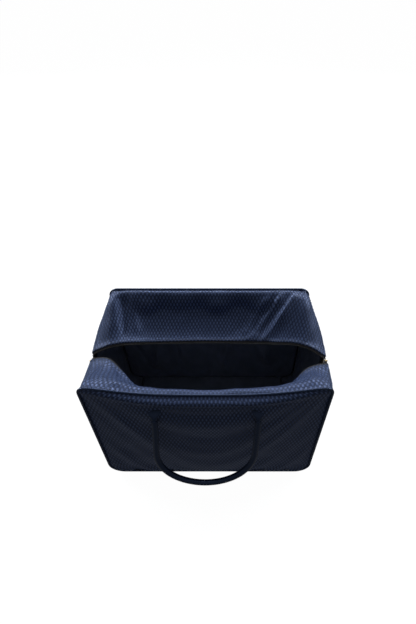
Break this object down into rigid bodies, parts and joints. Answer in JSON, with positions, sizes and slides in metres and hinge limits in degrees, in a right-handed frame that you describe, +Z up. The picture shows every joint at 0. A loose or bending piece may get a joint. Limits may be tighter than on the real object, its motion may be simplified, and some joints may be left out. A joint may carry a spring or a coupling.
{
  "type": "travel bag",
  "caption": "Boxy soft zip-top travel bag with a woven cover, piped edges and rolled handles, shown open for packing shoes and clothes.",
  "frame": {"origin": "bottom centre of the bag, on the surface that it stands on", "axes": "+X across the bag to its right end, -Y out of its front, +Z up"},
  "size_m": [0.504, 0.3896, 0.3197],
  "materials": {
    "cover": "navy basket-weave jacquard",
    "lining": "smooth near-black twill",
    "leather": "fine-grained navy-black leather",
    "zip_tape": "ribbed woven tape",
    "zip_coil": "nylon coil",
    "brass": "polished gold plate",
    "board": "stiff plastic sheet",
    "cord": "twisted filler cord"
  },
  "bodies": {
    "shell": {"front_panel": "cover", "front_lining": "lining", "front_piping": "leather", "rear_panel": "cover", "rear_lining": "lining", "rear_piping": "leather", "left_side": "cover", "left_side_lining": "lining", "right_side": "cover", "right_side_lining": "lining", "base": "cover", "base_board": "board", "base_lining": "lining", "front_fold": "cover", "front_fold_lining": "lining", "front_left_corner": "cover", "front_left_corner_lining": "lining", "front_left_corner_zip_tape": "zip_tape", "front_left_corner_zip_coil": "zip_coil", "front_right_corner": "cover", "front_right_corner_lining": "lining", "front_right_corner_zip_tape": "zip_tape", "front_right_corner_zip_coil": "zip_coil", "rear_left_corner": "cover", "rear_left_corner_lining": "lining", "rear_left_corner_zip_tape": "zip_tape", "rear_left_corner_zip_coil": "zip_coil", "rear_right_corner": "cover", "rear_right_corner_lining": "lining", "rear_right_corner_zip_tape": "zip_tape", "rear_right_corner_zip_coil": "zip_coil", "left_zip_stop": "brass", "right_zip_stop": "brass", "front_handle_left_tab": "leather", "front_handle_right_tab": "leather", "rear_handle_left_tab": "leather", "rear_handle_right_tab": "leather"},
    "front_flap": {"front_flap": "cover", "front_flap_lining": "lining", "front_flap_zip_tape": "zip_tape", "front_flap_zip_coil": "zip_coil"},
    "rear_flap": {"rear_flap": "cover", "rear_flap_lining": "lining", "rear_flap_zip_tape": "zip_tape", "rear_flap_zip_coil": "zip_coil"},
    "left_slider": {"left_slider": "brass"},
    "left_pull": {"left_pull": "brass"},
    "right_slider": {"right_slider": "brass"},
    "right_pull": {"right_pull": "brass"},
    "front_handle": {"front_handle": "leather", "front_handle_core": "cord"},
    "rear_handle": {"rear_handle": "leather", "rear_handle_core": "cord"}
  },
  "joints": [
    {"name": "front_flap_fold", "type": "hinge", "parent": "shell", "child": "front_flap", "pos_m": [0, -0.1062, 0.288], "axis": [1, 0, 0], "range_deg": [0, 80], "deforming": ["front_left_corner", "front_left_corner_lining", "front_left_corner_zip_tape", "front_left_corner_zip_coil", "front_right_corner", "front_right_corner_lining", "front_right_corner_zip_tape", "front_right_corner_zip_coil", "front_fold", "front_fold_lining"]},
    {"name": "rear_flap_fold", "type": "hinge", "parent": "shell", "child": "rear_flap", "pos_m": [0, 0.1327, 0.3177], "axis": [1, 0, 0], "range_deg": [-23, 35], "deforming": ["rear_left_corner", "rear_left_corner_lining", "rear_left_corner_zip_tape", "rear_left_corner_zip_coil", "rear_right_corner", "rear_right_corner_lining", "rear_right_corner_zip_tape", "rear_right_corner_zip_coil"]},
    {"name": "left_slider_travel", "type": "slide", "parent": "shell", "child": "left_slider", "axis": [0, 0, -1], "range_m": [0, 0.016]},
    {"name": "left_pull_swing", "type": "hinge", "parent": "left_slider", "child": "left_pull", "pos_m": [-0.2495, 0, 0.2302], "axis": [0, 1, 0], "range_deg": [0, 165]},
    {"name": "right_slider_travel", "type": "slide", "parent": "shell", "child": "right_slider", "axis": [0, 0, -1], "range_m": [0, 0.016]},
    {"name": "right_pull_swing", "type": "hinge", "parent": "right_slider", "child": "right_pull", "pos_m": [0.2495, 0, 0.2302], "axis": [0, -1, 0], "range_deg": [0, 165]},
    {"name": "front_handle_swing", "type": "hinge", "parent": "shell", "child": "front_handle", "pos_m": [0, -0.1435, 0.24], "axis": [-1, 0, 0], "range_deg": [0, 155]},
    {"name": "rear_handle_swing", "type": "hinge", "parent": "shell", "child": "rear_handle", "pos_m": [0, 0.1435, 0.24], "axis": [1, 0, 0], "range_deg": [0, 155]}
  ]
}
